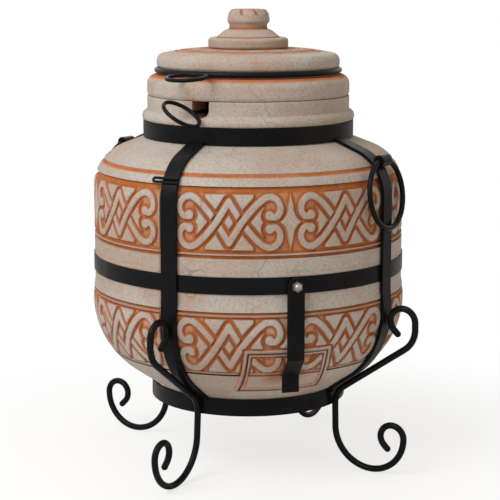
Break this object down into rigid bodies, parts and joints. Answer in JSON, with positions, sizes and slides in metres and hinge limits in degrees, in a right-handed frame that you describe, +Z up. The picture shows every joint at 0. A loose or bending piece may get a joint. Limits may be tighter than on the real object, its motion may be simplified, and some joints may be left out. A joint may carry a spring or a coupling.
{
  "type": "clay tandoor",
  "caption": "Free-standing clay tandoor oven with relief friezes, domed hinged lid with knob stopper, ash door with drop latch, and an iron stand with scroll legs and ring handles.",
  "frame": {"origin": "on the floor under the pot's axis, midway between the four feet", "axes": "+Z up along the pot's axis; -Y is the front, opposite the lid hinge; +X is the right-hand carrying ring"},
  "size_m": [0.593, 0.593, 0.6996],
  "materials": {
    "clay": "rough fired clay, cream slip with ochre in the recesses",
    "wrought_iron": "satin black stove paint",
    "bolt_steel": "dark worn steel",
    "cast_iron": "rough cast"
  },
  "bodies": {
    "pot_and_stand": {"pot_lower": "clay", "pot_wall": "clay", "pot_upper": "clay", "pot_neck": "clay", "frieze_upper": "clay", "frieze_lower": "clay", "hearth_ring": "clay", "mouth_ring": "clay", "ash_door": "clay", "neck_band": "wrought_iron", "belly_band": "wrought_iron", "base_band": "wrought_iron", "strap_front": "wrought_iron", "strap_right": "wrought_iron", "strap_back": "wrought_iron", "strap_left": "wrought_iron", "leg_front": "wrought_iron", "leg_right": "wrought_iron", "leg_back": "wrought_iron", "leg_left": "wrought_iron", "hinge_bracket": "wrought_iron", "hinge_pin": "wrought_iron", "handle_eye_right": "wrought_iron", "handle_eye_left": "wrought_iron", "tool_hook": "wrought_iron", "notch_hook": "wrought_iron", "latch_stud": "bolt_steel", "latch_washer": "wrought_iron", "latch_nut": "bolt_steel"},
    "lid": {"lid": "clay", "lid_hoop": "wrought_iron", "lid_loop": "wrought_iron", "hinge_leaf": "wrought_iron"},
    "lid_cap": {"lid_cap": "clay"},
    "right_ring": {"handle_ring_right": "wrought_iron"},
    "left_ring": {"handle_ring_left": "wrought_iron"},
    "door_latch": {"door_latch": "wrought_iron"},
    "grate": {"grate": "cast_iron"}
  },
  "joints": [
    {"name": "lid_hinge", "type": "hinge", "parent": "pot_and_stand", "child": "lid", "pos_m": [0, 0.175, 0.6075], "axis": [-1, 0, 0], "range_deg": [0, 107]},
    {"name": "cap_lift", "type": "slide", "parent": "lid", "child": "lid_cap", "axis": [0, 0, 1], "range_m": [0, 0.06]},
    {"name": "right_ring_swing", "type": "hinge", "parent": "pot_and_stand", "child": "right_ring", "pos_m": [0.23489, -0.00984, 0.48194], "axis": [-0.0419, -0.9991, 0], "range_deg": [0, 210]},
    {"name": "left_ring_swing", "type": "hinge", "parent": "pot_and_stand", "child": "left_ring", "pos_m": [-0.23489, 0.00984, 0.48194], "axis": [0.0419, 0.9991, 0], "range_deg": [0, 210]},
    {"name": "latch_swing", "type": "hinge", "parent": "pot_and_stand", "child": "door_latch", "pos_m": [0.17749, -0.16961, 0.3158], "axis": [0.723, -0.6909, 0], "range_deg": [-90, 90]},
    {"name": "grate_lift", "type": "slide", "parent": "pot_and_stand", "child": "grate", "axis": [0, 0, 1], "range_m": [0, 0.15]}
  ]
}
